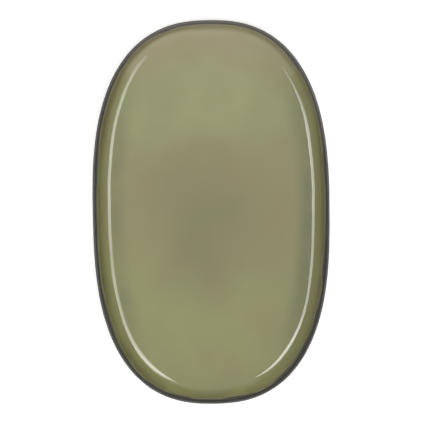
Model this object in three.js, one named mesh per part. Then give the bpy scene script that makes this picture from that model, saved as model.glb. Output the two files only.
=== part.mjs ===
// Oval coupe serving platter: one dark stoneware body, bare along its lip and on its foot ring,
// with three glaze coats fired on to it.
// Millimetres and degrees, +Z up. The long axis lies along Y, and the origin is on the resting
// plane, below the middle of the platter.
import * as THREE from 'three';
import { mergeGeometries, mergeVertices } from 'three/addons/utils/BufferGeometryUtils.js';

// Overall sizes, over the lip
const overallLength = 355;
const overallWidth = 218;
const overallHeight = 25;

// Fullness of the oval: 2 is an ellipse, and more makes the long sides or the ends flatter
const sideFullness = 2.7;
const endFullness = 2.45;

// Lip and wall
const lipThickness = 2.4;
const innerLean = 14;
const outerLean = 10;

// Floor: the well corner is inside the wall, the heel corner is outside, and the dish is how far
// the middle of the floor lies below its edge
const floorThickness = 5;
const wellRadius = 16;
const heelRadius = 19;
const floorDish = 0.6;

// Foot ring: it stands in from the end of the heel corner by its setback
const footSetback = 5.5;
const footWidth = 6;
const footHeight = 2.5;
const footRounding = 1.2;

// Glaze: each coat thins out to nothing over the roll-off at its edge
const faceGlazeThickness = 0.6;
const backGlazeThickness = 0.45;
const glazeRollOff = 1.2;

// Bare clay: below the lip's round, inside and outside, and beside the foot ring
const bareInside = 2.4;
const bareOutside = 3;
const bareAtFoot = 1.2;

// Facets
const outlineSegments = 80;
const cornerSteps = 7;
const lipSteps = 3;
const footSteps = 2;
const floorRings = 3;

const clay = { color: '#4b4946', roughness: 0.82, metalness: 0 };
const glaze = { color: '#92906e', roughness: 0.2, metalness: 0 };

// The lip's outline seen from above, |x / a| ^ endFullness + |y / b| ^ sideFullness = 1
class OvalOutline extends THREE.Curve {
  constructor(halfWidth, halfLength) {
    super();
    this.halfWidth = halfWidth;
    this.halfLength = halfLength;
    this.arcLengthDivisions = 2000;
  }

  getPoint(t, target = new THREE.Vector2()) {
    const across = Math.cos(2 * Math.PI * t);
    const along = Math.sin(2 * Math.PI * t);
    return target.set(
      this.halfWidth * Math.sign(across) * Math.abs(across) ** (2 / endFullness),
      this.halfLength * Math.sign(along) * Math.abs(along) ** (2 / sideFullness),
    );
  }

  // Unit normal at a point of the outline, pointing out of the oval
  outward(point) {
    const across = Math.abs(point.x / this.halfWidth) ** (endFullness - 1);
    const along = Math.abs(point.y / this.halfLength) ** (sideFullness - 1);
    return new THREE.Vector2(
      Math.sign(point.x) * across * endFullness / this.halfWidth,
      Math.sign(point.y) * along * sideFullness / this.halfLength,
    ).normalize();
  }
}

const outline = new OvalOutline(overallWidth / 2, overallLength / 2);
const outlinePoints = outline.getSpacedPoints(outlineSegments).slice(0, outlineSegments);
const outlineNormals = outlinePoints.map((point) => outline.outward(point));

// The section through the wall is drawn in a plane where x is the inset from the lip's widest
// line and y is the height. A station is one point of that section: the oval is drawn in by its
// inset, shrunk by its scale towards the middle, and lifted to its height. Where glaze lies on it,
// its normal points out of the clay, and its cover is the share of the full glaze thickness.
function station(point, { normal, scale = 1, cover = 1 } = {}) {
  return { point, normal, scale, cover };
}

function stationOn(path, distance, cover = 1) {
  const share = THREE.MathUtils.clamp(distance / path.getLength(), 0, 1);
  const along = path.getTangentAt(share);
  const normal = new THREE.Vector2(along.y, -along.x);
  return station(path.getPointAt(share), { normal, cover });
}

// Evenly spaced stations from one distance along a path to another
function stationsOn(path, from, to, steps) {
  return Array.from({ length: steps + 1 }, (_, step) => (
    stationOn(path, THREE.MathUtils.lerp(from, to, step / steps))
  ));
}

function arc(centre, radius, from, to) {
  return new THREE.EllipseCurve(centre.x, centre.y, radius, radius, from, to, to < from);
}

function pathThrough(...curves) {
  const path = new THREE.CurvePath();
  curves.forEach((curve) => path.add(curve));
  return path;
}

// Rings that shrink evenly to the middle from a point at the edge, sinking by the dish
function ringsToMiddle(edge, normal) {
  return Array.from({ length: floorRings }, (_, ring) => {
    const scale = 1 - (ring + 1) / floorRings;
    const sunk = floorDish * (1 - scale * scale);
    return station(new THREE.Vector2(edge.x, edge.y - sunk), { normal, scale });
  });
}

const up = new THREE.Vector2(0, 1);
const down = new THREE.Vector2(0, -1);
const innerAngle = THREE.MathUtils.degToRad(innerLean);
const outerAngle = THREE.MathUtils.degToRad(outerLean);
const floorTop = footHeight + floorThickness;

// The bare lip: a round that runs tangent into both faces of the wall, in three arcs that meet on
// its crest and on its widest line
const lipRadius = lipThickness / 2;
const lipCentre = new THREE.Vector2(lipRadius, overallHeight - lipRadius);
const lipTurns = [innerAngle, Math.PI / 2, Math.PI, Math.PI + outerAngle];
const lipPoints = lipTurns.slice(1).flatMap((turn, index) => (
  arc(lipCentre, lipRadius, lipTurns[index], turn).getPoints(lipSteps).slice(index === 0 ? 0 : 1)
));
const lip = lipPoints.map((point) => station(point));
const lipInside = lipPoints.at(0);
const lipOutside = lipPoints.at(-1);

// A corner arc that is tangent to the leaning wall below a lip point and to a level surface, with
// its radius limited by the height of that wall
function cornerArc(lipPoint, lean, level, radius, from, to) {
  const rise = lipPoint.y - level;
  const fitted = Math.min(radius, rise / (1 - Math.sin(lean)));
  const wallLength = (rise - fitted * (1 - Math.sin(lean))) / Math.cos(lean);
  const inset = lipPoint.x + wallLength * Math.sin(lean) + fitted * Math.cos(lean);
  return arc(new THREE.Vector2(inset, level + fitted), fitted, from, to);
}

const floorward = 1.5 * Math.PI;
const wellArc = cornerArc(lipInside, innerAngle, floorTop, wellRadius, floorward, Math.PI + innerAngle);
const heelArc = cornerArc(lipOutside, outerAngle, footHeight, heelRadius, Math.PI + outerAngle, floorward);

// Inside of the wall, from the edge of the floor up to the lip
const wellPath = pathThrough(wellArc, new THREE.LineCurve(wellArc.getPoint(1), lipInside));
const faceEdge = wellPath.getLength() - bareInside;
const well = [
  ...stationsOn(wellPath, 0, faceEdge - glazeRollOff, cornerSteps),
  stationOn(wellPath, faceEdge, 0),
];
const floor = ringsToMiddle(wellArc.getPoint(0), up).reverse();

// Outside of the wall, from the lip down and in to the foot ring
const heelEnd = heelArc.getPoint(1);
const footInset = heelEnd.x + footSetback;
const footOuterRoot = new THREE.Vector2(footInset, footHeight);
const outerPath = pathThrough(
  new THREE.LineCurve(lipOutside, heelArc.getPoint(0)),
  heelArc,
  new THREE.LineCurve(heelEnd, footOuterRoot),
);
const outerEnd = outerPath.getLength() - bareAtFoot;
const outside = [
  stationOn(outerPath, bareOutside, 0),
  ...stationsOn(outerPath, bareOutside + glazeRollOff, outerEnd - glazeRollOff, cornerSteps),
  stationOn(outerPath, outerEnd, 0),
];

// The bare foot ring, with both edges of its resting face rounded
const footRadius = Math.min(footRounding, footHeight, footWidth / 2);
const footInnerInset = footInset + footWidth;
const footInnerRoot = new THREE.Vector2(footInnerInset, footHeight);
const footArcs = [
  arc(new THREE.Vector2(footInset + footRadius, footRadius), footRadius, Math.PI, floorward),
  arc(new THREE.Vector2(footInnerInset - footRadius, footRadius), footRadius, floorward, 2 * Math.PI),
];
const footPoints = footArcs.flatMap((curve) => curve.getPoints(footSteps));
const foot = [footOuterRoot, ...footPoints, footInnerRoot].map((point) => station(point));

// Underside, from the foot ring to the middle
const baseEdge = new THREE.Vector2(footInnerInset + bareAtFoot, footHeight);
const baseRim = new THREE.Vector2(baseEdge.x + glazeRollOff, footHeight);
const base = [
  station(baseEdge, { normal: down, cover: 0 }),
  station(baseRim, { normal: down }),
  ...ringsToMiddle(baseRim, down),
];

// The points of one station's ring, or its one point where it has shrunk to the middle
function ringPoints({ point, scale }) {
  if (scale === 0) {
    return [new THREE.Vector3(0, 0, point.y)];
  }
  return outlinePoints.map((onLip, index) => {
    const drawnIn = onLip.clone().addScaledVector(outlineNormals[index], -point.x);
    return new THREE.Vector3(scale * drawnIn.x, scale * drawnIn.y, point.y);
  });
}

// A surface lofted through stations, facing along their normals, or against them when reversed
function loft(stations, reversed = false) {
  const vertices = [];
  const triangles = [];
  const rings = stations.map((each) => {
    const points = ringPoints(each);
    const first = vertices.length;
    vertices.push(...points);
    return (index) => first + (index % points.length);
  });
  const addTriangle = (a, b, c) => triangles.push(...(reversed ? [a, c, b] : [a, b, c]));
  for (let step = 0; step + 1 < rings.length; step += 1) {
    const near = rings[step];
    const far = rings[step + 1];
    for (let side = 0; side < outlineSegments; side += 1) {
      if (stations[step + 1].scale !== 0) {
        addTriangle(near(side), far(side), far(side + 1));
      }
      if (stations[step].scale !== 0) {
        addTriangle(near(side), far(side + 1), near(side + 1));
      }
    }
  }
  const geometry = new THREE.BufferGeometry().setFromPoints(vertices);
  geometry.setIndex(triangles);
  return geometry;
}

// A glaze coat: its back lies on the clay, its front stands off by its thickness, and the two meet
// where the cover runs out
function coat(stations, thickness) {
  const front = stations.map((each) => ({
    ...each,
    point: each.point.clone().addScaledVector(each.normal, thickness * each.cover),
  }));
  return mergeVertices(mergeGeometries([loft(front), loft(stations, true)]));
}

function piece(name, geometry, finish) {
  const mesh = new THREE.Mesh(geometry, new THREE.MeshStandardMaterial(finish));
  mesh.name = name;
  return mesh;
}

const platter = new THREE.Group();
platter.name = 'oval_platter';
platter.add(
  piece('stoneware_body', loft([floor, well, lip, outside, foot, base].flat()), clay),
  piece('face_glaze', coat([...floor, ...well], faceGlazeThickness), glaze),
  piece('outer_wall_glaze', coat(outside, backGlazeThickness), glaze),
  piece('base_glaze', coat(base, backGlazeThickness), glaze),
);

export default platter;
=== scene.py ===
import math

import bpy
import numpy as np
from mathutils import Matrix, Vector


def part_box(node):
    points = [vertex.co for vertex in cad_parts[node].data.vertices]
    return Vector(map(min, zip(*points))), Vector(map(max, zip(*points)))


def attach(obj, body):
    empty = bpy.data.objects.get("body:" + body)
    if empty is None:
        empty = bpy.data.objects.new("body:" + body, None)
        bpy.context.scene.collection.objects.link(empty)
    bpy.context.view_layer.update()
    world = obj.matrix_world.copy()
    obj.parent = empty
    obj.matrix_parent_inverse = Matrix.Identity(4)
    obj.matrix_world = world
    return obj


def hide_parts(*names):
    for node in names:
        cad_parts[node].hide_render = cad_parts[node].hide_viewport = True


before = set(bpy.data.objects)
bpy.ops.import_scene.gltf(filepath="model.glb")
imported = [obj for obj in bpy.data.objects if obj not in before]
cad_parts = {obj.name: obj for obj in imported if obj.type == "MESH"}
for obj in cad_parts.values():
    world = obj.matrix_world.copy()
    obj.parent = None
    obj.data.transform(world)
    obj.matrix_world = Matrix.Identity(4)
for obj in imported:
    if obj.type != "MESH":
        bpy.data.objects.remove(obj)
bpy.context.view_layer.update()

scene = bpy.context.scene
scene.view_settings.view_transform = "Standard"


def toLinear(hexColour):
    shares = [int(hexColour[at:at + 2], 16) / 255 for at in (1, 3, 5)]
    return [s / 12.92 if s <= 0.04045 else ((s + 0.055) / 1.055) ** 2.4 for s in shares] + [1]


# Adds a node. Each input is a value, a socket, or a node, which stands for its first output.
def put(tree, kind, settings=None, inputs=None):
    node = tree.nodes.new(kind)
    for name, value in (settings or {}).items():
        setattr(node, name, value)
    for name, value in (inputs or {}).items():
        socket = node.inputs[name] if isinstance(name, int) else next(
            each for each in node.inputs if each.enabled and each.name == name)
        if isinstance(value, bpy.types.Node):
            value = next(each for each in value.outputs if each.enabled)
        if isinstance(value, bpy.types.NodeSocket):
            tree.links.new(value, socket)
        else:
            socket.default_value = value
    return node


def newMaterial(name):
    material = bpy.data.materials.new(name)
    material.use_nodes = True
    material.node_tree.nodes.clear()
    return material, material.node_tree


# Charcoal stoneware, pressed, wiped clean of glaze and fired bare: a matt, dry dark grey with a
# fine grit and a few paler grains. It is painted paler towards the far right as painted light, and a
# painted highlight runs a little lighter along the crest of the lip.
stonewareLook = {
    "clay": "#4c4a48", "shade": "#3e3c3b", "cloudSize": 0.009, "cloudFrom": 0.32, "cloudTo": 0.68,
    "pale": "#65625e", "paleAlong": (0.6, 1.0, 0.0), "paleFrom": 0.07, "paleTo": 0.15, "paleShare": 0.6,
    "crestHighlight": "#555350", "crestHighlightWidth": 0.0016, "crestHighlightShare": 0.4,
    "grain": "#74716b", "grainSpacing": 0.0024, "grainFrom": 0.1, "grainTo": 0.2, "grainShare": 0.7,
    "gritSize": 0.0007, "gritDepth": 0.00012, "gritStrength": 0.5,  # grit drawn coarse to show
    "smoothest": 0.45, "roughest": 0.7, "ior": 1.5,
}


def makeStoneware(look):
    material, tree = newMaterial("charcoalStoneware")
    place = put(tree, "ShaderNodeTexCoord").outputs["Object"]
    clouds = put(tree, "ShaderNodeTexNoise", {}, {
        "Vector": place, "Scale": 1 / look["cloudSize"], "Detail": 4.0, "Roughness": 0.6})
    body = put(tree, "ShaderNodeMix", {"data_type": "RGBA"}, {
        "Factor": put(tree, "ShaderNodeMapRange", {}, {
            "Value": clouds, "From Min": look["cloudFrom"], "From Max": look["cloudTo"]}),
        "A": toLinear(look["shade"]), "B": toLinear(look["clay"])})
    # painted light: the clay is mixed paler towards the far right
    body = put(tree, "ShaderNodeMix", {"data_type": "RGBA"}, {
        "Factor": put(tree, "ShaderNodeMapRange", {"interpolation_type": "SMOOTHSTEP"}, {
            "Value": put(tree, "ShaderNodeVectorMath", {"operation": "DOT_PRODUCT"}, {
                0: place, 1: look["paleAlong"]}).outputs["Value"],
            "From Min": look["paleFrom"], "From Max": look["paleTo"], "To Max": look["paleShare"]}),
        "A": body, "B": toLinear(look["pale"])})
    crest = put(tree, "ShaderNodeAttribute", {"attribute_name": "reach"}).outputs["Fac"]
    # a painted highlight: lighter along the crest of the lip
    crestHighlight = put(tree, "ShaderNodeMix", {"data_type": "RGBA"}, {
        "Factor": put(tree, "ShaderNodeMapRange", {"interpolation_type": "SMOOTHSTEP"}, {
            "Value": crest, "From Max": look["crestHighlightWidth"],
            "To Min": look["crestHighlightShare"], "To Max": 0.0}),
        "A": body, "B": toLinear(look["crestHighlight"])})
    grains = put(tree, "ShaderNodeTexVoronoi", {}, {
        "Vector": place, "Scale": 1 / look["grainSpacing"]})
    speckled = put(tree, "ShaderNodeMix", {"data_type": "RGBA"}, {
        "Factor": put(tree, "ShaderNodeMapRange", {}, {
            "Value": grains, "From Min": look["grainFrom"], "From Max": look["grainTo"],
            "To Min": look["grainShare"], "To Max": 0.0}),
        "A": crestHighlight, "B": toLinear(look["grain"])})
    grit = put(tree, "ShaderNodeTexNoise", {}, {
        "Vector": place, "Scale": 1 / look["gritSize"], "Detail": 3.0})
    bump = put(tree, "ShaderNodeBump", {}, {
        "Strength": look["gritStrength"], "Distance": look["gritDepth"], "Height": grit})
    shader = put(tree, "ShaderNodeBsdfPrincipled", {}, {
        "Base Color": speckled, "IOR": look["ior"], "Normal": bump,
        "Roughness": put(tree, "ShaderNodeMapRange", {}, {
            "Value": grit, "To Min": look["smoothest"], "To Max": look["roughest"]})})
    put(tree, "ShaderNodeOutputMaterial", {}, {"Surface": shader})
    return material


# Olive reactive glaze, dipped and fired glossy: a clear skin over a soft olive that is paler and
# browner at the far end, with a brown ring round a deeper heart in the middle. Along the long walls a
# band of painted shade darkens the corner of the well. The glaze drains brown down the wall in faint
# runs, and the wall is darkened further by painted shade, less at the ends. It breaks yellow in thin
# patches at the near end, a pale painted highlight lies along the roll above the bare lip, and there are
# a few iron specks.
faceGlazeLook = {
    # tones of the floor along its length and round its middle
    "near": "#8c8d60", "far": "#91936a", "farFrom": -0.03, "farTo": 0.1,
    "end": "#938d6d", "endFrom": 0.11, "endTo": 0.16, "cloudSize": 0.06, "cloudDrift": 0.05,
    "ring": "#898460", "ringAt": (0.0, 0.01, 0.0), "ringReach": (0.14, 0.1, 1.0), "ringFull": 0.7,
    "heart": "#7b7958", "heartAt": (-0.004, -0.018, 0.0), "heartReach": (0.075, 0.1, 1.0),
    "heartFull": 1.0, "deepFrom": 0.01, "deepTo": 0.1, "deepShare": 0.45,
    # brown patches and iron specks
    "brown": "#857b5b", "patchSize": 0.04, "patchFrom": 0.4, "patchTo": 0.75, "patchShare": 0.4,
    "iron": "#5d5840", "speckSpacing": 0.006, "speckCount": 0.25, "speckFrom": 0.03, "speckTo": 0.07,
    "speckShare": 0.6, "unevenSize": 0.03,
    # the painted shade at the foot of the wall along the long sides, which narrows towards the ends and
    # is weaker on the left
    "paintedShade": "#696c50", "paintedShadeAt": 0.023, "paintedShadeWidth": 0.014, "paintedShadeShare": 0.85, "paintedShadeCut": -0.35,
    "paintedShadeFrom": 0.01, "paintedShadeTo": 0.055, "paintedShadeSide": 0.05, "paintedShadeLeft": 0.6, "paintedShadeFaint": 0.6,
    "paintedShadeUnevenFrom": 0.35, "paintedShadeUnevenTo": 0.65,
    # the wall's tone, browner glaze deepened by painted shade, fades between wallFull and wallWidth below
    # the glaze edge
    "wall": "#5e5337", "wallFull": 0.005, "wallWidth": 0.0175, "wallWidthFar": 0.012, "wallShare": 0.78,
    "wallAtEnds": 0.42, "wallAlong": (0.65, -0.15, 0.0), "wallFrom": 0.1, "wallTo": 0.16,
    "run": "#6d6e46", "runWidth": 0.055, "runBand": 0.15, "runBearing": (1.0, 0.6, 0.0), "runSeed": 582.0,
    "runFrom": 0.4, "runTo": 0.6,
    "thin": "#8b8743", "thinFrom": -0.095, "thinTo": -0.14, "thinUnevenFrom": 0.46, "thinUnevenTo": 0.62,
    # the pale painted highlight along the roll above the bare lip, the film that sets it back, and the
    # edge
    "roll": "#928e75", "rollHighlightLeast": 0.00325, "rollHighlightMost": 0.00975, "rollHighlightShare": 0.75,
    "rollHighlightUnevenFrom": 0.3, "rollHighlightUnevenTo": 0.7,
    "filmWidth": 0.0022, "filmSize": 0.036, "filmSeed": 221.0, "filmFrom": 0.5, "filmTo": 0.68,
    "edge": "#4b4843", "edgeWidth": 0.0009, "edgeRoughness": 0.45, "roughness": 0.05,
    "peelSize": 0.0035, "peelDepth": 0.00001, "peelStrength": 0.5, "ior": 1.62,
}
backGlazeLook = dict(faceGlazeLook, near="#84865b", far="#8b8964", end="#8b8964", filmWidth=0.0,
                     roughness=0.1, edgeRoughness=0.5)


def makeGlaze(name, look):
    material, tree = newMaterial(name)
    place = put(tree, "ShaderNodeTexCoord").outputs["Object"]
    axes = put(tree, "ShaderNodeSeparateXYZ", {}, {0: place}).outputs
    reach = put(tree, "ShaderNodeAttribute", {"attribute_name": "reach"}).outputs["Fac"]

    # soft clouds push the borders of the tones about
    clouds = put(tree, "ShaderNodeTexNoise", {}, {
        "Vector": place, "Scale": 1 / look["cloudSize"], "Detail": 2.0})
    drift = put(tree, "ShaderNodeVectorMath", {"operation": "SCALE"}, {
        0: put(tree, "ShaderNodeVectorMath", {"operation": "SUBTRACT"}, {
            0: clouds.outputs["Color"], 1: (0.5, 0.5, 0.5)}), "Scale": look["cloudDrift"]})
    drifted = put(tree, "ShaderNodeVectorMath", {"operation": "ADD"}, {0: place, 1: drift})
    along = put(tree, "ShaderNodeSeparateXYZ", {}, {0: drifted}).outputs["Y"]
    tone = put(tree, "ShaderNodeMix", {"data_type": "RGBA"}, {
        "Factor": put(tree, "ShaderNodeMapRange", {"interpolation_type": "SMOOTHSTEP"}, {
            "Value": along, "From Min": look["farFrom"], "From Max": look["farTo"]}),
        "A": toLinear(look["near"]), "B": toLinear(look["far"])})
    tone = put(tree, "ShaderNodeMix", {"data_type": "RGBA"}, {
        "Factor": put(tree, "ShaderNodeMapRange", {"interpolation_type": "SMOOTHSTEP"}, {
            "Value": along, "From Min": look["endFrom"], "From Max": look["endTo"]}),
        "A": tone, "B": toLinear(look["end"])})
    for zone in ("ring", "heart"):
        inside = put(tree, "ShaderNodeTexGradient", {"gradient_type": "SPHERICAL"}, {
            "Vector": put(tree, "ShaderNodeMapping", {"vector_type": "TEXTURE"}, {
                "Vector": drifted, "Location": look[zone + "At"], "Scale": look[zone + "Reach"]})})
        tone = put(tree, "ShaderNodeMix", {"data_type": "RGBA"}, {
            "Factor": put(tree, "ShaderNodeMapRange", {"interpolation_type": "SMOOTHSTEP"}, {
                "Value": inside.outputs["Fac"], "From Max": look[zone + "Full"]}),
            "A": tone, "B": toLinear(look[zone])})
    tone = put(tree, "ShaderNodeMix", {"data_type": "RGBA"}, {
        "Factor": put(tree, "ShaderNodeMapRange", {"interpolation_type": "SMOOTHSTEP"}, {
            "Value": put(tree, "ShaderNodeSeparateXYZ", {}, {0: drifted}).outputs["X"],
            "From Min": look["deepFrom"], "From Max": look["deepTo"], "To Max": look["deepShare"]}),
        "A": tone, "B": toLinear(look["heart"])})
    patches = put(tree, "ShaderNodeTexNoise", {}, {
        "Vector": place, "Scale": 1 / look["patchSize"], "Detail": 3.0})
    tone = put(tree, "ShaderNodeMix", {"data_type": "RGBA"}, {
        "Factor": put(tree, "ShaderNodeMapRange", {}, {
            "Value": patches, "From Min": look["patchFrom"], "From Max": look["patchTo"],
            "To Max": look["patchShare"]}),
        "A": tone, "B": toLinear(look["brown"])})
    cells = put(tree, "ShaderNodeTexVoronoi", {}, {
        "Vector": place, "Scale": 1 / look["speckSpacing"]})
    picked = put(tree, "ShaderNodeMath", {"operation": "LESS_THAN"}, {
        0: put(tree, "ShaderNodeSeparateColor", {}, {"Color": cells.outputs["Color"]}),
        1: look["speckCount"]})
    speck = put(tree, "ShaderNodeMapRange", {}, {
        "Value": cells, "From Min": look["speckFrom"], "From Max": look["speckTo"],
        "To Min": look["speckShare"], "To Max": 0.0})
    tone = put(tree, "ShaderNodeMix", {"data_type": "RGBA"}, {
        "Factor": put(tree, "ShaderNodeMath", {"operation": "MULTIPLY"}, {0: picked, 1: speck}),
        "A": tone, "B": toLinear(look["iron"])})

    # painted shade lies along the long sides, at the foot of the wall
    uneven = put(tree, "ShaderNodeTexNoise", {}, {
        "Vector": place, "Scale": 1 / look["unevenSize"], "Detail": 3.0})
    fromPaintedShade = put(tree, "ShaderNodeMath", {"operation": "ABSOLUTE"}, {
        0: put(tree, "ShaderNodeMath", {"operation": "SUBTRACT"}, {0: reach, 1: look["paintedShadeAt"]})})
    paintedShadeMask = put(tree, "ShaderNodeMapRange", {"interpolation_type": "SMOOTHSTEP"}, {
        "Value": fromPaintedShade, "From Max": look["paintedShadeWidth"], "To Min": look["paintedShadeShare"], "To Max": 0.0})
    sideways = put(tree, "ShaderNodeMapRange", {"interpolation_type": "SMOOTHSTEP"}, {
        "Value": put(tree, "ShaderNodeMath", {"operation": "MULTIPLY_ADD"}, {
            0: put(tree, "ShaderNodeMath", {"operation": "ABSOLUTE"}, {0: axes["Y"]}),
            1: look["paintedShadeCut"],
            2: put(tree, "ShaderNodeMath", {"operation": "ABSOLUTE"}, {0: axes["X"]})}),
        "From Min": look["paintedShadeFrom"], "From Max": look["paintedShadeTo"]})
    tone = put(tree, "ShaderNodeMix", {"data_type": "RGBA"}, {
        "Factor": put(tree, "ShaderNodeMath", {"operation": "MULTIPLY"}, {
            0: put(tree, "ShaderNodeMath", {"operation": "MULTIPLY"}, {0: paintedShadeMask, 1: sideways}),
            1: put(tree, "ShaderNodeMath", {"operation": "MULTIPLY"}, {
                0: put(tree, "ShaderNodeMapRange", {}, {
                    "Value": axes["X"], "From Min": -look["paintedShadeSide"],
                    "From Max": look["paintedShadeSide"], "To Min": look["paintedShadeLeft"]}),
                1: put(tree, "ShaderNodeMapRange", {}, {
                    "Value": uneven, "From Min": look["paintedShadeUnevenFrom"],
                    "From Max": look["paintedShadeUnevenTo"], "To Min": look["paintedShadeFaint"]})})}),
        "A": tone, "B": toLinear(look["paintedShade"])})

    # runs down the wall follow the direction from the middle
    bearing = put(tree, "ShaderNodeVectorMath", {"operation": "NORMALIZE"}, {
        0: put(tree, "ShaderNodeVectorMath", {"operation": "MULTIPLY"}, {
            0: place, 1: look["runBearing"]})})
    runs = put(tree, "ShaderNodeTexNoise", {"noise_dimensions": "4D"}, {
        "Vector": bearing, "W": look["runSeed"], "Detail": 4.0,
        "Scale": look["runBand"] / look["runWidth"]})
    wall = put(tree, "ShaderNodeMix", {"data_type": "RGBA"}, {
        "Factor": put(tree, "ShaderNodeMapRange", {}, {
            "Value": runs, "From Min": look["runFrom"], "From Max": look["runTo"]}),
        "A": toLinear(look["wall"]), "B": toLinear(look["run"])})
    wall = put(tree, "ShaderNodeMix", {"data_type": "RGBA"}, {
        "Factor": put(tree, "ShaderNodeMath", {"operation": "MULTIPLY"}, {
            0: put(tree, "ShaderNodeMapRange", {"interpolation_type": "SMOOTHSTEP"}, {
                "Value": axes["Y"], "From Min": look["thinFrom"], "From Max": look["thinTo"]}),
            1: put(tree, "ShaderNodeMapRange", {"interpolation_type": "SMOOTHSTEP"}, {
                "Value": uneven, "From Min": look["thinUnevenFrom"],
                "From Max": look["thinUnevenTo"]})}),
        "A": wall, "B": toLinear(look["thin"])})
    # the wall's tone: browner glaze and painted shade below the glaze edge, less of it at the ends
    tone = put(tree, "ShaderNodeMix", {"data_type": "RGBA"}, {
        "Factor": put(tree, "ShaderNodeMath", {"operation": "MULTIPLY"}, {
            0: put(tree, "ShaderNodeMapRange", {"interpolation_type": "SMOOTHSTEP"}, {
                "Value": reach, "From Min": look["wallFull"],
                "From Max": put(tree, "ShaderNodeMapRange", {"interpolation_type": "SMOOTHSTEP"}, {
                    "Value": axes["Y"], "From Min": look["endFrom"], "From Max": look["endTo"],
                    "To Min": look["wallWidth"], "To Max": look["wallWidthFar"]}),
                "To Min": look["wallShare"], "To Max": 0.0}),
            1: put(tree, "ShaderNodeMapRange", {"interpolation_type": "SMOOTHSTEP"}, {
                "Value": put(tree, "ShaderNodeMath", {"operation": "ADD"}, {
                    0: put(tree, "ShaderNodeVectorMath", {"operation": "DOT_PRODUCT"}, {
                        0: place, 1: look["wallAlong"]}).outputs["Value"],
                    1: put(tree, "ShaderNodeMath", {"operation": "ABSOLUTE"}, {0: axes["Y"]})}),
                "From Min": look["wallFrom"], "From Max": look["wallTo"],
                "To Min": 1.0, "To Max": look["wallAtEnds"]})}),
        "A": tone, "B": wall})

    # the pale painted highlight along the roll above the bare lip, set back where the glaze thins to a
    # film, and the line where it ends
    rollHighlightEnd = put(tree, "ShaderNodeMapRange", {}, {
        "Value": uneven, "From Min": look["rollHighlightUnevenFrom"], "From Max": look["rollHighlightUnevenTo"],
        "To Min": look["rollHighlightLeast"], "To Max": look["rollHighlightMost"]})
    film = put(tree, "ShaderNodeMapRange", {"interpolation_type": "SMOOTHSTEP"}, {
        "Value": put(tree, "ShaderNodeTexNoise", {"noise_dimensions": "4D"}, {
            "Vector": place, "W": look["filmSeed"], "Scale": 1 / look["filmSize"], "Detail": 2.0}),
        "From Min": look["filmFrom"], "From Max": look["filmTo"], "To Max": look["filmWidth"]})
    pastFilm = put(tree, "ShaderNodeMath", {"operation": "SUBTRACT"}, {0: reach, 1: film})
    rollHighlightMask = put(tree, "ShaderNodeMapRange", {"interpolation_type": "SMOOTHSTEP"}, {
        "Value": pastFilm, "From Max": rollHighlightEnd, "To Min": look["rollHighlightShare"], "To Max": 0.0})
    tone = put(tree, "ShaderNodeMix", {"data_type": "RGBA"}, {
        "Factor": rollHighlightMask, "A": tone, "B": toLinear(look["roll"])})
    thinness = put(tree, "ShaderNodeMapRange", {"interpolation_type": "SMOOTHSTEP"}, {
        "Value": pastFilm, "From Max": look["edgeWidth"], "To Min": 1.0, "To Max": 0.0})
    tone = put(tree, "ShaderNodeMix", {"data_type": "RGBA"}, {
        "Factor": thinness, "A": tone, "B": toLinear(look["edge"])})

    # a faint orange peel in the gloss, which turns dull along the edge
    peel = put(tree, "ShaderNodeTexNoise", {}, {
        "Vector": place, "Scale": 1 / look["peelSize"], "Detail": 2.0})
    bump = put(tree, "ShaderNodeBump", {}, {
        "Strength": look["peelStrength"], "Distance": look["peelDepth"], "Height": peel})
    shader = put(tree, "ShaderNodeBsdfPrincipled", {}, {
        "Base Color": tone, "IOR": look["ior"], "Normal": bump,
        "Roughness": put(tree, "ShaderNodeMapRange", {}, {
            "Value": thinness, "To Min": look["roughness"], "To Max": look["edgeRoughness"]})})
    put(tree, "ShaderNodeOutputMaterial", {}, {"Surface": shader})
    return material


charcoalStoneware = makeStoneware(stonewareLook)
oliveFaceGlaze = makeGlaze("oliveReactiveGlaze", faceGlazeLook)
oliveBackGlaze = makeGlaze("thinOliveGlaze", backGlazeLook)
print("materials made")


# The oval loft: every piece is one section carried round the lip's oval. A section is a row of
# points whose x is the inset from the widest line, y the shrink towards the middle and z the height.
loft = {"outlineSteps": 2880, "mergeDistance": 2e-6, "noiseLow": 0.3, "noiseHigh": 0.7,
        "rippleLow": 0.25, "rippleHigh": 0.75}


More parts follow.
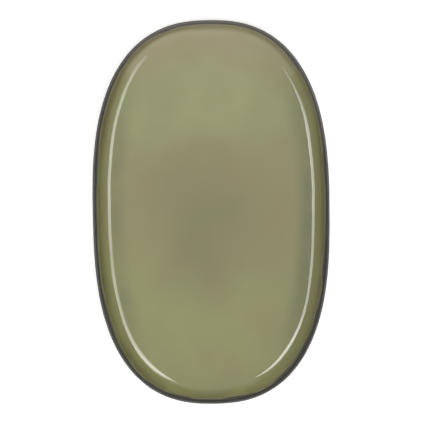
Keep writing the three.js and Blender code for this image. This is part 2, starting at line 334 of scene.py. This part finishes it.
def makeOvalLoft():
    tree = bpy.data.node_groups.new("ovalLoft", "GeometryNodeTree")
    for name, kind in (
            ("Section", "Object"), ("Half Width", "Float"), ("Half Length", "Float"),
            ("End Fullness", "Float"), ("Side Fullness", "Float"), ("Segments", "Int"),
            ("Edge Wander", "Float"), ("Edge Tilt", "Float"), ("Edge Limit", "Float"),
            ("Wander Size", "Float"), ("Ripple", "Float"),
            ("Ripple Size", "Float"), ("Seed", "Float"), ("Wall Sway", "Float"),
            ("Sway Size", "Float"), ("Sway Seed", "Float"), ("Material", "Material")):
        tree.interface.new_socket(name, in_out="INPUT", socket_type="NodeSocket" + kind)
    tree.interface.new_socket("Geometry", in_out="OUTPUT", socket_type="NodeSocketGeometry")
    given = put(tree, "NodeGroupInput").outputs
    place = put(tree, "GeometryNodeInputPosition")

    # the outline, |x / a| ^ endFullness + |y / b| ^ sideFullness = 1, in even steps
    circle = put(tree, "GeometryNodeCurvePrimitiveCircle", {}, {
        "Resolution": loft["outlineSteps"], "Radius": 1.0})
    onCircle = put(tree, "ShaderNodeSeparateXYZ", {}, {0: place})
    axes = (("X", "Half Width", "End Fullness"), ("Y", "Half Length", "Side Fullness"))
    stretched = {}
    for axis, half, fullness in axes:
        turn = onCircle.outputs[axis]
        swell = put(tree, "ShaderNodeMath", {"operation": "POWER"}, {
            0: put(tree, "ShaderNodeMath", {"operation": "ABSOLUTE"}, {0: turn}),
            1: put(tree, "ShaderNodeMath", {"operation": "DIVIDE"}, {0: 2.0, 1: given[fullness]})})
        stretched[axis] = put(tree, "ShaderNodeMath", {"operation": "MULTIPLY"}, {
            0: put(tree, "ShaderNodeMath", {"operation": "MULTIPLY"}, {0: swell, 1: given[half]}),
            1: put(tree, "ShaderNodeMath", {"operation": "SIGN"}, {0: turn})})
    oval = put(tree, "GeometryNodeSetPosition", {}, {
        "Geometry": circle, "Position": put(tree, "ShaderNodeCombineXYZ", {}, stretched)})
    evenOval = put(tree, "GeometryNodeResampleCurve", {}, {
        "Curve": oval, "Count": given["Segments"]})

    # a grid with one column for each step of the outline and one row for each section point
    section = put(tree, "GeometryNodeObjectInfo", {}, {"Object": given["Section"]})
    sectionShape = section.outputs["Geometry"]
    rows = put(tree, "GeometryNodeAttributeDomainSize", {}, {"Geometry": sectionShape})
    grid = put(tree, "GeometryNodeMeshGrid", {}, {
        "Vertices X": put(tree, "FunctionNodeIntegerMath", {"operation": "ADD"}, {
            0: given["Segments"], 1: 1}),
        "Vertices Y": rows})
    index = put(tree, "GeometryNodeInputIndex")
    column = put(tree, "FunctionNodeIntegerMath", {"operation": "DIVIDE"}, {0: index, 1: rows})
    step = put(tree, "FunctionNodeIntegerMath", {"operation": "MODULO"}, {
        0: column, 1: given["Segments"]})
    row = put(tree, "FunctionNodeIntegerMath", {"operation": "MODULO"}, {0: index, 1: rows})
    onLip = put(tree, "GeometryNodeSampleIndex", {"data_type": "FLOAT_VECTOR"}, {
        "Geometry": evenOval, "Value": place, "Index": step})
    onSection = put(tree, "GeometryNodeSampleIndex", {"data_type": "FLOAT_VECTOR"}, {
        "Geometry": sectionShape, "Value": place, "Index": row})
    carried = {}
    for name, kind in (("slide", "FLOAT_VECTOR"), ("lift", "FLOAT_VECTOR"), ("sway", "FLOAT"),
                       ("reach", "FLOAT")):
        carried[name] = put(tree, "GeometryNodeSampleIndex", {"data_type": kind}, {
            "Geometry": sectionShape, "Index": row,
            "Value": put(tree, "GeometryNodeInputNamedAttribute", {"data_type": kind}, {
                "Name": name})})

    # the outline's outward normal, from the gradient of its rule
    lipPlace = put(tree, "ShaderNodeSeparateXYZ", {}, {0: onLip})
    slope = {}
    for axis, half, fullness in axes:
        share = put(tree, "ShaderNodeMath", {"operation": "DIVIDE"}, {
            0: lipPlace.outputs[axis], 1: given[half]})
        steep = put(tree, "ShaderNodeMath", {"operation": "POWER"}, {
            0: put(tree, "ShaderNodeMath", {"operation": "ABSOLUTE"}, {0: share}),
            1: put(tree, "ShaderNodeMath", {"operation": "SUBTRACT"}, {
                0: given[fullness], 1: 1.0})})
        signed = put(tree, "ShaderNodeMath", {"operation": "MULTIPLY"}, {
            0: steep, 1: put(tree, "ShaderNodeMath", {"operation": "SIGN"}, {0: share})})
        slope[axis] = put(tree, "ShaderNodeMath", {"operation": "MULTIPLY"}, {
            0: signed, 1: put(tree, "ShaderNodeMath", {"operation": "DIVIDE"}, {
                0: given[fullness], 1: given[half]})})
    outward = put(tree, "ShaderNodeVectorMath", {"operation": "NORMALIZE"}, {
        0: put(tree, "ShaderNodeCombineXYZ", {}, slope)})

    # each point of the grid goes in from the lip, shrinks and rises as its section point says
    drawn = put(tree, "ShaderNodeSeparateXYZ", {}, {0: onSection})
    inset, shrink, height = (drawn.outputs[axis] for axis in "XYZ")
    drawnIn = put(tree, "ShaderNodeVectorMath", {"operation": "SUBTRACT"}, {
        0: onLip, 1: put(tree, "ShaderNodeVectorMath", {"operation": "SCALE"}, {
            0: outward, "Scale": inset})})
    ring = put(tree, "ShaderNodeVectorMath", {"operation": "SCALE"}, {0: drawnIn, "Scale": shrink})
    lofted = put(tree, "ShaderNodeVectorMath", {"operation": "ADD"}, {
        0: ring, 1: put(tree, "ShaderNodeCombineXYZ", {}, {"Z": height})})

    # handwork: edges wander along the wall to both sides, surfaces dip by the ripple and the inner
    # wall sways in and out
    wander = put(tree, "ShaderNodeTexNoise", {"noise_dimensions": "4D"}, {
        "Vector": onLip, "W": given["Seed"], "Detail": 2.0,
        "Scale": put(tree, "ShaderNodeMath", {"operation": "DIVIDE"}, {
            0: 1.0, 1: given["Wander Size"]})})
    wandered = put(tree, "ShaderNodeMapRange", {"clamp": False}, {
        "Value": wander, "From Min": loft["noiseLow"], "From Max": loft["noiseHigh"],
        "To Min": -1.0, "To Max": 1.0})
    tilted = put(tree, "ShaderNodeMath", {"operation": "MULTIPLY"}, {
        0: put(tree, "ShaderNodeMath", {"operation": "DIVIDE"}, {
            0: lipPlace.outputs["Y"], 1: given["Half Length"]}), 1: given["Edge Tilt"]})
    ripple = put(tree, "ShaderNodeTexNoise", {"noise_dimensions": "4D"}, {
        "Vector": lofted, "W": given["Seed"], "Detail": 2.0,
        "Scale": put(tree, "ShaderNodeMath", {"operation": "DIVIDE"}, {
            0: 1.0, 1: given["Ripple Size"]})})
    rippled = put(tree, "ShaderNodeMapRange", {}, {
        "Value": ripple, "From Min": loft["rippleLow"], "From Max": loft["rippleHigh"],
        "To Min": -1.0, "To Max": 0.0})
    change = put(tree, "ShaderNodeVectorMath", {"operation": "ADD"}, {
        0: put(tree, "ShaderNodeVectorMath", {"operation": "SCALE"}, {
            0: carried["slide"], "Scale": put(tree, "ShaderNodeMath", {"operation": "MINIMUM"}, {
                0: put(tree, "ShaderNodeMath", {"operation": "MULTIPLY_ADD"}, {
                    0: wandered, 1: given["Edge Wander"], 2: tilted}),
                1: given["Edge Limit"]})}),
        1: put(tree, "ShaderNodeVectorMath", {"operation": "SCALE"}, {
            0: carried["lift"], "Scale": put(tree, "ShaderNodeMath", {"operation": "MULTIPLY"}, {
                0: rippled, 1: given["Ripple"]})})})
    changed = put(tree, "ShaderNodeSeparateXYZ", {}, {0: change})
    sway = put(tree, "ShaderNodeTexNoise", {"noise_dimensions": "4D"}, {
        "Vector": onLip, "W": given["Sway Seed"], "Detail": 1.0,
        "Scale": put(tree, "ShaderNodeMath", {"operation": "DIVIDE"}, {
            0: 1.0, 1: given["Sway Size"]})})
    swayed = put(tree, "ShaderNodeMath", {"operation": "MULTIPLY"}, {
        0: put(tree, "ShaderNodeMath", {"operation": "MULTIPLY"}, {
            0: carried["sway"], 1: given["Wall Sway"]}),
        1: put(tree, "ShaderNodeMapRange", {"clamp": False}, {
            "Value": sway, "From Min": loft["noiseLow"], "From Max": loft["noiseHigh"],
            "To Min": -1.0, "To Max": 1.0})})
    pushed = put(tree, "ShaderNodeVectorMath", {"operation": "SCALE"}, {
        0: outward, "Scale": put(tree, "ShaderNodeMath", {"operation": "SUBTRACT"}, {
            0: swayed, 1: changed.outputs["X"]})})
    shaped = put(tree, "GeometryNodeSetPosition", {}, {
        "Geometry": grid.outputs["Mesh"], "Position": lofted,
        "Offset": put(tree, "ShaderNodeVectorMath", {"operation": "ADD"}, {
            0: pushed, 1: put(tree, "ShaderNodeCombineXYZ", {}, {"Z": changed.outputs["Z"]})})})

    # what the materials read, then the seam and the poles are closed
    marked = put(tree, "GeometryNodeStoreNamedAttribute", {"data_type": "FLOAT"}, {
        "Geometry": shaped, "Name": "reach", "Value": carried["reach"]})
    mapped = put(tree, "GeometryNodeStoreNamedAttribute", {
        "data_type": "FLOAT2", "domain": "CORNER"}, {
        "Geometry": marked, "Name": "UVMap", "Value": grid.outputs["UV Map"]})
    closed = put(tree, "GeometryNodeMergeByDistance", {}, {
        "Geometry": mapped, "Distance": loft["mergeDistance"]})
    smooth = put(tree, "GeometryNodeSetShadeSmooth", {}, {"Geometry": closed})
    realized = put(tree, "GeometryNodeRealizeInstances", {}, {"Geometry": smooth})
    dressed = put(tree, "GeometryNodeSetMaterial", {}, {
        "Geometry": realized, "Material": given["Material"]})
    put(tree, "NodeGroupOutput", {}, {"Geometry": dressed})
    return tree


ovalLoft = makeOvalLoft()


def runLoft(name, stations, sizes, material):
    rowMesh = bpy.data.meshes.new(name + "Section")
    rowMesh.from_pydata([each["place"] for each in stations], [], [])
    for key in ("slide", "lift"):
        rowMesh.attributes.new(key, "FLOAT_VECTOR", "POINT").data.foreach_set(
            "vector", [value for each in stations for value in each[key]])
    for key in ("sway", "reach"):
        rowMesh.attributes.new(key, "FLOAT", "POINT").data.foreach_set(
            "value", [each[key] for each in stations])
    section = bpy.data.objects.new(name + "Section", rowMesh)
    scene.collection.objects.link(section)

    piece = bpy.data.objects.new(name, bpy.data.meshes.new(name))
    scene.collection.objects.link(piece)
    modifier = piece.modifiers.new("ovalLoft", "NODES")
    modifier.node_group = ovalLoft
    sockets = {item.name: item.identifier for item in ovalLoft.interface.items_tree
               if item.in_out == "INPUT"}
    settings = {
        "Section": section, "Half Width": oval["halfWidth"], "Half Length": oval["halfLength"],
        "End Fullness": oval["endFullness"], "Side Fullness": oval["sideFullness"],
        "Segments": oval["segments"], "Edge Wander": sizes["edgeWander"],
        "Edge Tilt": sizes["edgeTilt"], "Edge Limit": stoneware["bareInside"],
        "Wander Size": sizes["wanderSize"], "Ripple": sizes["ripple"],
        "Ripple Size": sizes["rippleSize"], "Seed": sizes["seed"], "Wall Sway": oval["wallSway"],
        "Sway Size": oval["swaySize"], "Sway Seed": oval["swaySeed"], "Material": material}
    for key, value in settings.items():
        modifier[sockets[key]] = value
    evaluated = piece.evaluated_get(bpy.context.evaluated_depsgraph_get())
    mesh = bpy.data.meshes.new_from_object(evaluated)
    piece.modifiers.clear()
    piece.data = mesh
    mesh.name = name
    bpy.data.objects.remove(section)
    print(name, "lofted:", len(stations), "section points,", len(mesh.polygons), "faces")
    return piece


def arcRun(centre, radius, start, end, steps):
    turns = np.linspace(start, end, steps + 1)
    return np.column_stack([centre[0] + radius * np.cos(turns), centre[1] + radius * np.sin(turns)])


hair = 1e-6  # metres, below any size of the platter


# Runs of points in one path, without the points that two runs share
def joinRuns(*runs):
    path = np.vstack(runs)
    apart = np.hypot(*np.diff(path, axis=0).T) > 0.1 * hair
    return path[np.append(True, apart)]


def pathLengths(path):
    return np.append(0, np.cumsum(np.hypot(*np.diff(path, axis=0).T)))


# Points, outward normals and directions on a path, at distances along it
def walk(path, distances):
    lengths = pathLengths(path)

    def at(distance):
        return np.column_stack([np.interp(distance, lengths, path[:, axis]) for axis in (0, 1)])

    step = 20 * hair
    along = at(distances + step) - at(distances - step)
    along /= np.hypot(*along.T)[:, None]
    return at(distances), np.column_stack([along[:, 1], -along[:, 0]]), along


def station(point, shrink=1.0, slide=(0, 0), lift=(0, 0), sway=0.0, reach=1.0):
    return {"place": (point[0], shrink, point[1]), "slide": (slide[0], 0, slide[1]),
            "lift": (lift[0], 0, lift[1]), "sway": sway, "reach": reach}


# The oval and the clay section, as in the CAD, in metres and degrees, with the handwork on them
_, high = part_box("stoneware_body")
oval = {"halfWidth": high.x, "halfLength": high.y, "endFullness": 2.45, "sideFullness": 2.7,
        "segments": 480, "wallSway": 0.00075, "swaySize": 0.08, "swaySeed": 7.0, "swayRise": 1.5}
stoneware = {
    "height": high.z, "lipThickness": 0.0024, "innerLean": 14, "outerLean": 10,
    "floorThickness": 0.005, "wellRadius": 0.016, "heelRadius": 0.019, "floorDish": 0.0006,
    "footSetback": 0.0055, "footWidth": 0.006, "footHeight": 0.0025, "footRounding": 0.0012,
    "bareInside": 0.0024, "bareOutside": 0.003, "bareAtFoot": 0.0012,
    "lipSteps": 28, "cornerSteps": 40, "footSteps": 8, "rings": 4,
    "edgeWander": 0.0, "edgeTilt": 0.0, "wanderSize": 0.02,
    "ripple": 0.00016, "rippleSize": 0.014, "rippleCalm": 0.25, "seed": 3.0,
}

innerAngle, outerAngle = math.radians(stoneware["innerLean"]), math.radians(stoneware["outerLean"])
floorward = 1.5 * math.pi
floorTop = stoneware["footHeight"] + stoneware["floorThickness"]
lipRadius = stoneware["lipThickness"] / 2
lipCentre = (lipRadius, stoneware["height"] - lipRadius)
lipRun = arcRun(lipCentre, lipRadius, innerAngle, math.pi + outerAngle, stoneware["lipSteps"])


# The corner arc that runs tangent from a level surface into the leaning wall below a lip point
def cornerCentre(lipPoint, lean, level, radius):
    wallLength = (lipPoint[1] - level - radius * (1 - math.sin(lean))) / math.cos(lean)
    inset = lipPoint[0] + wallLength * math.sin(lean) + radius * math.cos(lean)
    return inset, level + radius


wellCentre = cornerCentre(lipRun[0], innerAngle, floorTop, stoneware["wellRadius"])
heelCentre = cornerCentre(lipRun[-1], outerAngle, stoneware["footHeight"], stoneware["heelRadius"])
wellRun = arcRun(wellCentre, stoneware["wellRadius"], floorward, math.pi + innerAngle,
                 stoneware["cornerSteps"])
heelRun = arcRun(heelCentre, stoneware["heelRadius"], math.pi + outerAngle, floorward,
                 stoneware["cornerSteps"])
wellPath = joinRuns(wellRun, lipRun[:1])
footInset = heelRun[-1][0] + stoneware["footSetback"]
footRoot = (footInset, stoneware["footHeight"])
outerPath = joinRuns(lipRun[-1:], heelRun, [footRoot])
footInner = footInset + stoneware["footWidth"]
rounding = stoneware["footRounding"]
footRun = joinRuns(
    arcRun((footInset + rounding, rounding), rounding, math.pi, floorward, stoneware["footSteps"]),
    arcRun((footInner - rounding, rounding), rounding, floorward, 2 * math.pi, stoneware["footSteps"]))
baseEdge = (footInner + stoneware["bareAtFoot"], stoneware["footHeight"])


# Rings that shrink evenly from the middle out to an edge point, sunk at the middle by the dish
def ringsFromMiddle(edge, normal, rings, thickness=0.0, rippled=0.0, edgeReach=1.0):
    made = []
    for ring in range(rings):
        shrink = ring / rings
        sunk = stoneware["floorDish"] * (1 - shrink ** 2)
        shareOfRipple = min(1, shrink / stoneware["rippleCalm"])  # calm in the middle
        made.append(station((edge[0], edge[1] - sunk + normal * thickness), shrink,
                            lift=(0, normal * rippled * shareOfRipple),
                            reach=edgeReach + (1 - shrink) * (oval["halfWidth"] - edge[0])))
    return made


# How far a point of the inner wall sways: fully at the floor, not at all at the lip
def swayAt(point):
    wallTop = wellPath[-1][1]
    return float(np.clip((wallTop - point[1]) / (wallTop - floorTop) * oval["swayRise"], 0, 1))


def makeStonewareBody():
    clayPath = joinRuns(wellPath[:-1], lipRun, outerPath[1:], footRun,
                        [(footInner, stoneware["footHeight"]), baseEdge])
    crestAt = len(wellPath) - 1 + int(np.argmax(lipRun[:, 1]))
    lengths = pathLengths(clayPath)
    lipStart, lipEnd = lengths[len(wellPath) - 1], lengths[len(wellPath) - 2 + len(lipRun)]
    _, normals, _ = walk(clayPath, lengths)
    made = ringsFromMiddle(clayPath[0], 1, stoneware["rings"])
    for point, normal, at in zip(clayPath, normals, lengths):
        onLip = lipStart - hair <= at <= lipEnd + hair
        made.append(station(point, lift=normal * onLip, reach=abs(at - lengths[crestAt]),
                            sway=swayAt(point) if at < lipStart else 0.0))
    made += ringsFromMiddle(baseEdge, -1, stoneware["rings"])[::-1]
    return runLoft("stonewareBody", made, stoneware, charcoalStoneware)


# A coat's cover: it rises from nothing at the edge in a quarter round and rolls over a low bead
def coverAt(distance, coat):
    rise = np.clip(distance / coat["rollOff"], 0, 1)
    bead = coat["bead"] * np.exp(-((distance - coat["beadAt"]) / coat["beadWidth"]) ** 2) * rise
    return coat["thickness"] * np.sqrt(1 - (1 - rise) ** 2) + bead


# Distances from a coat's edge, in metres, closest where it rises
edgeSteps = np.array([0, 0.02, 0.06, 0.12, 0.2, 0.3, 0.42, 0.56, 0.75, 0.95,
                      1.2, 1.5, 1.9, 2.4, 3.0]) / 1000
faceCoat = {
    "thickness": 0.0006, "rollOff": 0.0012, "bead": 0.00012, "beadAt": 0.0016, "beadWidth": 0.0012,
    "drop": 0.00085, "fade": 0.014, "cornerSteps": 44, "rings": 14,
    "edgeWander": 0.0015, "edgeTilt": -0.0002, "wanderSize": 0.044,
    "ripple": 0.00006, "rippleSize": 0.03, "seed": 1290.0,
}


# The section points on a coat's face and on the clay under it. The edge slides along the path.
def coatStations(path, distances, fromEdge, coat, slideSign, swaying=False):
    points, normals, along = walk(path, distances)
    covers = coverAt(fromEdge, coat)
    front, back = [], []
    for point, normal, tangent, cover, edge in zip(points, normals, along, covers, fromEdge):
        slide = tangent * slideSign * max(0, 1 - edge / coat["fade"]) ** 2
        lift = normal * min(1, edge / coat["fade"])
        sway = swayAt(point) if swaying else 0.0
        front.append(station(point + normal * cover, slide=slide, lift=lift, sway=sway, reach=edge))
        back.append(station(point, slide=slide, sway=sway, reach=edge))
    return front, back


def makeFaceGlaze(coat):
    edgeAt = pathLengths(wellPath)[-1] - stoneware["bareInside"] - coat["drop"]
    fromEdge = np.append(
        np.linspace(edgeAt, edgeSteps[-1], coat["cornerSteps"] + 1), edgeSteps[-2::-1])
    front, back = coatStations(wellPath, edgeAt - fromEdge, fromEdge, coat, 1, swaying=True)
    floorFront = ringsFromMiddle(wellPath[0], 1, coat["rings"], coat["thickness"], 1.0, edgeAt)
    floorBack = ringsFromMiddle(wellPath[0], 1, stoneware["rings"])
    made = floorFront + front + back[-2::-2] + floorBack[::-1]
    return runLoft("faceGlaze", made, coat, oliveFaceGlaze)


outerCoat = dict(faceCoat, thickness=0.00045, cornerSteps=40, fade=0.008, edgeWander=0.0005,
                 edgeTilt=0.0, seed=23.0)


def makeOuterWallGlaze(coat):
    topAt = stoneware["bareOutside"]
    bottomAt = pathLengths(outerPath)[-1] - stoneware["bareAtFoot"]
    between = np.linspace(topAt + edgeSteps[-1], bottomAt - edgeSteps[-1], coat["cornerSteps"] + 1)
    distances = np.concatenate([topAt + edgeSteps, between[1:-1], bottomAt - edgeSteps[::-1]])
    fromEdge = np.minimum(distances - topAt, bottomAt - distances)
    front, back = coatStations(outerPath, distances, fromEdge, coat, 1)
    made = front + back[-2::-2] + front[:1]
    return runLoft("outerWallGlaze", made, coat, oliveBackGlaze)


baseCoat = dict(faceCoat, thickness=0.00045, bead=0.00008, fade=0.008, edgeWander=0.0005,
                edgeTilt=0.0, seed=31.0)


def makeBaseGlaze(coat):
    rimPath = np.array([baseEdge, (baseEdge[0] + edgeSteps[-1], baseEdge[1])])
    front, back = coatStations(rimPath, edgeSteps, edgeSteps, coat, -1)
    rim = rimPath[-1]
    floorFront = ringsFromMiddle(rim, -1, coat["rings"], coat["thickness"], 1.0, edgeSteps[-1])
    floorBack = ringsFromMiddle(rim, -1, stoneware["rings"])
    made = front + floorFront[::-1] + floorBack + back[::-2]
    return runLoft("baseGlaze", made, coat, oliveBackGlaze)


for piece, node, slot in (
        (makeStonewareBody(), "stoneware_body", "bare_stoneware"),
        (makeFaceGlaze(faceCoat), "face_glaze", "face_glaze"),
        (makeOuterWallGlaze(outerCoat), "outer_wall_glaze", "back_glaze"),
        (makeBaseGlaze(baseCoat), "base_glaze", "back_glaze")):
    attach(piece, "root")
    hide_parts(node)
print("platter dressed")


# Pale paper sweep that the platter lies on: the camera, and gloss, see it white, and it keeps the shadow
sweep = {"halfSize": 12.0, "colour": "#f4f4f4", "glow": 0.4}


def makeSweep():
    material, tree = newMaterial("studioPaper")
    rays = put(tree, "ShaderNodeLightPath").outputs
    seen = put(tree, "ShaderNodeMath", {"operation": "MAXIMUM"}, {
        0: rays["Is Camera Ray"], 1: put(tree, "ShaderNodeMath", {"operation": "MAXIMUM"}, {
            0: rays["Is Glossy Ray"], 1: rays["Is Transmission Ray"]})})
    paper = put(tree, "ShaderNodeBsdfDiffuse", {}, {"Color": toLinear(sweep["colour"])})
    glow = put(tree, "ShaderNodeEmission", {}, {
        "Strength": put(tree, "ShaderNodeMath", {"operation": "MULTIPLY"}, {
            0: seen, 1: sweep["glow"]})})
    put(tree, "ShaderNodeOutputMaterial", {}, {
        "Surface": put(tree, "ShaderNodeAddShader", {}, {0: paper, 1: glow})})
    size = sweep["halfSize"]
    mesh = bpy.data.meshes.new("studioFloor")
    mesh.from_pydata([(-size, -size, 0), (size, -size, 0), (size, size, 0), (-size, size, 0)],
                     [], [(0, 1, 2, 3)])
    mesh.materials.append(material)
    floor = bpy.data.objects.new("studioFloor", mesh)
    scene.collection.objects.link(floor)


makeSweep()


# A turn that points -Z from a place to a target, with X along the given direction
def facing(spot, target, across):
    back = (spot - target).normalized()
    up = back.cross(across).normalized()
    side = up.cross(back)
    return Matrix.Translation(spot) @ Matrix((side, up, back)).transposed().to_4x4()


# Soft boxes: one long panel overhead on each side, and a short one at the near right. Each shows as a
# streak in the wall across from it. A level is the panel's brightness at a share of its length, from
# the near end to the far end, and the slant brings the levels forward on its left.
softBoxes = (
    {"name": "rightPanel", "spot": (0.49, 0.14, 1.1), "size": (0.5, 0.84), "turn": 0, "slant": 0.0,
     "levels": ((0.0, 2.6), (0.11, 3.6), (0.2, 5.3), (0.35, 5.5), (0.55, 8.6), (0.79, 5.2),
                (0.97, 2.0))},
    {"name": "rightNearEnd", "spot": (0.55, -0.43, 1.1), "size": (0.24, 0.34), "turn": -28, "slant": 0.0,
     "levels": ((0.0, 2.4), (1.0, 2.4))},
    {"name": "leftPanel", "spot": (-0.555, -0.04, 1.1), "size": (0.44, 0.76), "turn": 30, "slant": 0.25,
     "levels": ((0.03, 0.0), (0.12, 2.1), (0.22, 2.7), (0.3, 4.6), (0.4, 5.1), (0.5, 8.0), (0.63, 9.0),
                (0.78, 7.8), (0.92, 4.6), (1.0, 1.5))},
)
for box in softBoxes:
    lamp = bpy.data.lights.new(box["name"], "AREA")
    lamp.shape = "RECTANGLE"
    lamp.size, lamp.size_y = box["size"]
    lamp.energy = math.pi * lamp.size * lamp.size_y
    lamp.use_nodes = True
    tree = lamp.node_tree
    tree.nodes.clear()
    share = put(tree, "ShaderNodeSeparateXYZ", {}, {
        0: put(tree, "ShaderNodeNewGeometry").outputs["Parametric"]}).outputs
    along = put(tree, "ShaderNodeMath", {"operation": "ADD"}, {
        0: put(tree, "ShaderNodeMath", {"operation": "MULTIPLY_ADD"}, {
            0: share["X"], 1: -box["slant"], 2: share["Y"]}),
        1: box["slant"] / 2})
    strength = box["levels"][0][1]
    for (start, before), (end, after) in zip(box["levels"], box["levels"][1:]):
        strength = put(tree, "ShaderNodeMath", {"operation": "ADD"}, {
            0: strength, 1: put(tree, "ShaderNodeMapRange", {}, {
                "Value": along, "From Min": start, "From Max": end, "To Max": after - before})})
    put(tree, "ShaderNodeOutputLight", {}, {
        "Surface": put(tree, "ShaderNodeEmission", {}, {"Strength": strength})})
    lampObject = bpy.data.objects.new(box["name"], lamp)
    spot = Vector(box["spot"])
    turn = math.radians(box["turn"])
    across = Vector((math.cos(turn), -math.sin(turn), 0))
    lampObject.matrix_world = facing(spot, spot - Vector((0, 0, 1)), across)
    scene.collection.objects.link(lampObject)

# Room: bright overhead, on the near side and high above the far end, softer lower down there, dim
# around and pale at the horizon. A zone's spread is the angle from its middle at which it starts and
# ends fading.
room = {
    "nearLow": 1.15, "nearHigh": 0.76, "lowBelow": 0.5, "highAbove": 0.85, "nearWidth": 57,
    "nearFade": 0.03, "around": 0.05, "horizon": 1.0, "horizonFrom": 0.06, "horizonTo": 0.14,
}
roomZones = (
    {"middle": (-0.12, 0.8, 0.588), "spread": (10, 26), "level": 0.6},
    {"middle": (0.05, 0.55, 0.834), "spread": (14, 28), "level": 0.9},
    {"middle": (0, 0, 1), "spread": (14, 21), "level": 0.76},
)
world = bpy.data.worlds.new("studioRoom")
scene.world = world
world.use_nodes = True
tree = world.node_tree
tree.nodes.clear()
direction = put(tree, "ShaderNodeTexCoord").outputs["Generated"]
heading = put(tree, "ShaderNodeSeparateXYZ", {}, {0: direction}).outputs
nearness = put(tree, "ShaderNodeMath", {"operation": "MULTIPLY_ADD"}, {
    0: put(tree, "ShaderNodeMath", {"operation": "ABSOLUTE"}, {0: heading["X"]}),
    1: 1 / math.tan(math.radians(room["nearWidth"])), 2: heading["Y"]})
nearSide = put(tree, "ShaderNodeMapRange", {"interpolation_type": "SMOOTHSTEP"}, {
    "Value": heading["Z"], "From Min": room["lowBelow"], "From Max": room["highAbove"],
    "To Min": room["nearLow"], "To Max": room["nearHigh"]})
level = put(tree, "ShaderNodeMapRange", {"interpolation_type": "SMOOTHSTEP"}, {
    "Value": nearness, "From Min": -room["nearFade"], "From Max": 0.0,
    "To Min": nearSide, "To Max": room["around"]})
for zone in roomZones:
    start, end = (math.cos(math.radians(angle)) for angle in zone["spread"])
    level = put(tree, "ShaderNodeMix", {}, {
        "Factor": put(tree, "ShaderNodeMapRange", {"interpolation_type": "SMOOTHSTEP"}, {
            "Value": put(tree, "ShaderNodeVectorMath", {"operation": "DOT_PRODUCT"}, {
                0: direction, 1: zone["middle"]}).outputs["Value"],
            "From Min": end, "From Max": start}),
        "A": level, "B": zone["level"]})
level = put(tree, "ShaderNodeMix", {}, {
    "Factor": put(tree, "ShaderNodeMapRange", {"interpolation_type": "SMOOTHSTEP"}, {
        "Value": heading["Z"], "From Min": room["horizonFrom"], "From Max": room["horizonTo"]}),
    "A": room["horizon"], "B": level})
put(tree, "ShaderNodeOutputWorld", {}, {
    "Surface": put(tree, "ShaderNodeBackground", {}, {"Strength": level})})
print("studio lit")

# Camera: a long lens nearly straight above, leaning a little towards the far end
view = {"sensor": 36.0, "lens": 128.1, "nearest": 0.05, "farthest": 50.0, "distance": 1.384,
        "tilt": 6.1, "roll": 0.75, "aim": (0.0003, 0.0028, 0.0237)}
camera = bpy.data.cameras.new("camera")
camera.sensor_width, camera.lens = view["sensor"], view["lens"]
camera.clip_start, camera.clip_end = view["nearest"], view["farthest"]
cameraObject = bpy.data.objects.new("camera", camera)
tilt, roll = math.radians(view["tilt"]), math.radians(view["roll"])
target = Vector(view["aim"])
spot = target + view["distance"] * Vector((0, math.sin(tilt), math.cos(tilt)))
cameraObject.matrix_world = facing(spot, target, Vector((math.cos(roll), -math.sin(roll), 0)))
scene.collection.objects.link(cameraObject)
scene.camera = cameraObject
